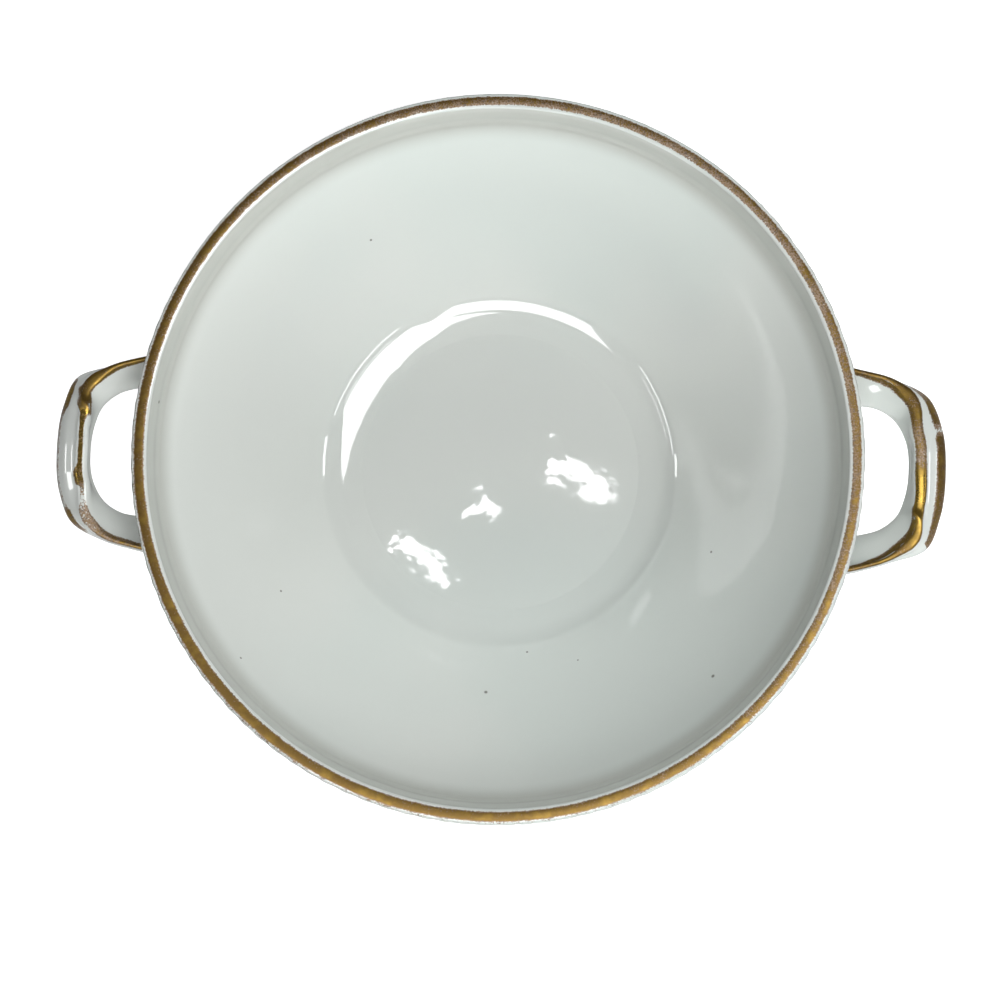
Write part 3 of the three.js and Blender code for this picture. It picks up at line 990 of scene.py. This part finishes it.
def stroke_material(name, stages):
    """Worn gold that changes along the stroke, given as shares with their wear and their polish."""
    made = gilded_material(name)
    tree = made.tree
    split = add_node(tree, "ShaderNodeSeparateXYZ")
    tree.links.new(add_node(tree, "ShaderNodeUVMap", uv_map="stroke").outputs["UV"], split.inputs[0])
    offset = math_node(tree, "SUBTRACT", split.outputs["X"], 0.5)
    across = math_node(tree, "MULTIPLY", math_node(tree, "ABSOLUTE", offset), 2.0)
    tree.links.new(across, made.gold.inputs["Across"])
    ramp = add_node(tree, "ShaderNodeValToRGB")
    tree.links.new(split.outputs["Y"], ramp.inputs["Fac"])
    stops = ramp.color_ramp.elements
    while len(stops) < len(stages):
        stops.new(1)
    for stop, (share, wear, polish) in zip(stops, stages):
        stop.position = share
        stop.color = (wear, polish, 0, 1)
    levels = add_node(tree, "ShaderNodeSeparateColor", [("Color", ramp.outputs["Color"])])
    tree.links.new(levels.outputs["Red"], made.gold.inputs["Wear"])
    tree.links.new(levels.outputs["Green"], made.gold.inputs["Polish"])
    return made.material


# %% Gilding on both handles
BEAD_STROKES = {  # share of the loop, reach inwards and outwards in millimetres
    "right": (
        (0.07, 1.8, 1.8), (0.2, 3.9, 2.2), (0.29, 4.5, 2.6), (0.343, 4.4, 2.6), (0.39, 2.3, 2.6),
        (0.6, 2.4, 2.8), (0.75, 3.6, 2.6), (0.82, 3.8, 2.2), (0.93, 2.2, 1.8)),
    "left": (
        (0.07, 1.8, 1.8), (0.2, 2.6, 2.2), (0.29, 2.8, 2.4), (0.325, 4.8, 5.0), (0.36, 4.8, 5.0),
        (0.39, 1.4, 1.6), (0.43, 0.9, 1.0), (0.545, 0.9, 1.0), (0.565, 0.9, 3.4), (0.6, 0.9, 3.4),
        (0.62, 0.9, 1.0), (0.66, 1.2, 1.2), (0.7, 2.6, 2.6), (0.85, 2.8, 2.2), (0.93, 2.2, 1.8)),
}
EDGE_STROKES = {
    "right": ((0.3, 2.6, 2.6), (0.42, 4.2, 2.6), (0.6, 3.9, 2.6), (0.76, 2.9, 2.6)),
    "left": (
        (0.3, 1.6, 2.6), (0.38, 2.6, 2.6), (0.44, 0.6, 2.6), (0.62, 0.6, 2.6),
        (0.68, 2.4, 2.6), (0.76, 1, 2.6)),
}
BEAD_STAGES = {  # share of the stroke, wear, polish
    "right": (
        (0, 0.3, 0.15), (0.27, 0.25, 0.2), (0.34, 0.1, 0.8), (0.48, 0.15, 0.9),
        (0.53, 0.5, 0.3), (0.64, 0.5, 0.2), (0.7, 0.3, 0.2), (1, 0.35, 0.1)),
    "left": (
        (0, 0.3, 0.2), (0.27, 0.25, 0.3), (0.31, 0.4, 0.0), (0.37, 0.35, 1),
        (0.61, 0.4, 1), (0.68, 0.85, 0.3), (0.84, 0.6, 0.2), (1, 0.4, 0.2)),
}
EDGE_STAGES = {
    "right": (
        (0, 0.55, 0.3), (0.25, 0.4, 0.25), (0.45, 0.3, 0.1), (0.6, 0.3, 0.0),
        (0.64, 0.85, 0.2), (0.7, 0.35, 0.3), (0.85, 0.45, 0.3), (1, 0.75, 0.3)),
    "left": (
        (0, 0.7, 0.4), (0.1, 0.25, 0.5), (0.2, 0.35, 0.4), (0.3, 0.8, 0.2),
        (0.6, 0.8, 0.2), (0.76, 0.75, 0.3), (0.82, 0.3, 0.4), (1, 0.85, 0.3)),
}
STROKES = (("bead", "ridge", BEAD_STROKES, BEAD_STAGES), ("edge", "edge", EDGE_STROKES, EDGE_STAGES))
for side, handle in handles.items():
    for name, line, strokes, stages in STROKES:
        stroke = gilt_stroke(handle, strokes[side], at_edge=name == "edge")
        gold = stroke_material(f"worn_{name}_gold_{side}", stages[side])
        node = f"handle_{side}_{line}_gilding"
        finish_piece(stroke, f"gilt_{name}_{side}", [node], gold)

# %% [markdown]
# ## Floor and light
# The bowl stands on a sheet that is seen as pure white: it glows, but for the camera only. One set of
# lights did not give both the soft shading of the bowl and its white reflections, so there are two. Soft
# panels light it from the front, from the right and from behind, and are hidden from mirrored rays. What
# the glaze and the gold mirror is a pair of windows, which leaves the bright arc in the well, low panes
# and thin strips of light on both sides, and three small lamps overhead.

# %% Floor
FLOOR_HALF = 2.0
FLOOR_GREY = (0.5, 0.5, 0.5, 1)
FLOOR_ROUGHNESS = 0.9
FLOOR_GLOW = 0.85
floor_bm = bmesh.new()
bmesh.ops.create_grid(floor_bm, x_segments=8, y_segments=8, size=FLOOR_HALF)
floor_mesh = bpy.data.meshes.new("pale_floor")
floor_bm.to_mesh(floor_mesh)
floor_bm.free()
floor = bpy.data.objects.new("pale_floor", floor_mesh)
bpy.context.collection.objects.link(floor)
floor_material = bpy.data.materials.new("pale_floor")
floor_material.use_nodes = True
floor_shader = floor_material.node_tree.nodes["Principled BSDF"]
floor_shader.inputs["Base Color"].default_value = FLOOR_GREY
floor_shader.inputs["Roughness"].default_value = FLOOR_ROUGHNESS
floor_shader.inputs["Emission Color"].default_value = (1, 1, 1, 1)
light_path = floor_material.node_tree.nodes.new("ShaderNodeLightPath").outputs["Is Camera Ray"]
glow = range_node(floor_material.node_tree, light_path, 0, 1, 0.0, FLOOR_GLOW)
floor_material.node_tree.links.new(glow, floor_shader.inputs["Emission Strength"])
floor_mesh.materials.append(floor_material)
print("floor", FLOOR_HALF * 2, "m wide")


# %% Lights
def area_light(name, bearing, elevation, size, radiance, distance=1.2, roll=0, mirrored=True):
    """A light that faces the bowl from a bearing and an elevation in degrees.

    A mirrored light is seen in the glaze and the gold, and any other gives matt light only."""
    data = bpy.data.lights.new(name, "AREA")
    data.shape = "RECTANGLE"
    data.size, data.size_y = size
    data.energy = radiance * data.size * data.size_y * math.pi
    light = bpy.data.objects.new(name, data)
    light.visible_glossy = mirrored
    light.visible_diffuse = not mirrored
    bpy.context.collection.objects.link(light)
    turn, rise = math.radians(bearing), math.radians(elevation)
    way = Vector((math.cos(turn) * math.cos(rise), math.sin(turn) * math.cos(rise), math.sin(rise)))
    light.location = Vector((0, 0, LAND_HEIGHT)) + way * distance
    light.rotation_mode = "QUATERNION"
    light.rotation_quaternion = (-way).to_track_quat("-Z", "Y") @ Quaternion((0, 0, 1), math.radians(roll))


PANELS = (  # name, bearing, elevation, size, radiance
    ("panel_near", 276, 60, (0.50, 0.20), 9.0),
    ("panel_middle", 298, 55, (0.50, 0.24), 7.2),
    ("panel_right", 335, 56, (0.50, 0.70), 4.9),
    ("panel_back", 90, 25, (0.7, 0.3), 8.5),
    ("panel_front", 270, 19, (0.7, 0.56), 5.7),
    ("panel_low", 0, 4, (0.5, 0.1), 12))
for panel in PANELS:
    area_light(*panel, mirrored=False)
WINDOW_RADIANCE = 6.5
WINDOWS = (  # name, bearing, elevation, size
    ("window_front", 262, 49, (0.98, 0.56)),
    ("window_right", 325, 61, (0.70, 0.82)),
    ("low_pane_right", 2, 20, (0.26, 0.12)),
    ("low_pane_left", 178, 20, (0.14, 0.12)),
    ("glint_right_low", 329, 26, (0.75, 0.05)),
    ("glint_right_high", 328, 38, (0.5, 0.03)),
    ("glint_left_low", 197, 27, (0.62, 0.05)),
    ("glint_left_high", 197, 38, (0.4, 0.03)))
for window in WINDOWS:
    area_light(*window, WINDOW_RADIANCE)
LAMP_RADIANCE = 9.0
LAMP_DISTANCE = 2
LAMPS = (  # name, bearing, elevation, size, roll
    ("lamp_right", 69, 84.8, (0.09, 0.022), -8),
    ("lamp_middle", 119, 85.9, (0.04, 0.022), 0),
    ("lamp_left", 160, 85.8, (0.1, 0.026), 75))
for *lamp, roll in LAMPS:
    area_light(*lamp, LAMP_RADIANCE, LAMP_DISTANCE, roll)
print("lit by", len(PANELS), "panels, with", len(WINDOWS), "panes and", len(LAMPS), "lamps to mirror")

# %% Room
ROOM_GLOW = 0.06
world = bpy.data.worlds.new("pale_room")
world.use_nodes = True
world.node_tree.nodes["Background"].inputs["Color"].default_value = (1.0, 1.0, 1.0, 1)
world.node_tree.nodes["Background"].inputs["Strength"].default_value = ROOM_GLOW
bpy.context.scene.world = world
bpy.context.scene.view_settings.view_transform = "Standard"
print("room glows at", ROOM_GLOW)
